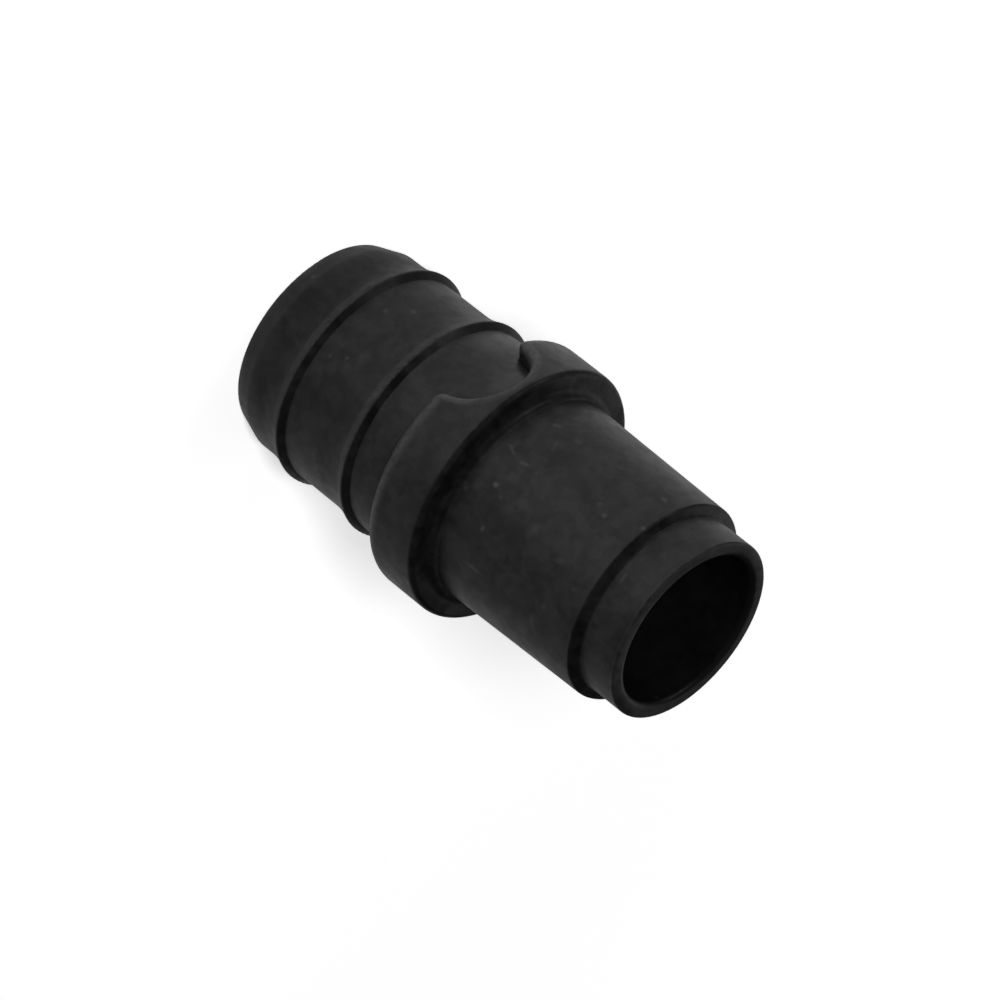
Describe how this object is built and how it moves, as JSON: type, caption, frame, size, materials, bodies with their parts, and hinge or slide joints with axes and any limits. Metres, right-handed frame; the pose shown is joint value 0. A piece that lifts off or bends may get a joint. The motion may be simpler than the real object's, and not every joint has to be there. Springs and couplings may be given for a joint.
{
  "type": "straight pipe adapter",
  "caption": "Black moulded straight pipe adapter with a ringed hose end, a wide notched collar, a slightly tapered spigot and a short stepped nose round an open bore.",
  "frame": {"origin": "centre of the hose end face, on the axis of the bore", "axes": "+Z along the axis from the hose end to the nose; the notch in the collar faces -Y"},
  "size_m": [0.0456, 0.0456, 0.0845],
  "materials": {
    "body": "black moulded nylon, satin, with faint flow mottling"
  },
  "bodies": {
    "root": {"adapter_body": "body"}
  },
  "joints": []
}
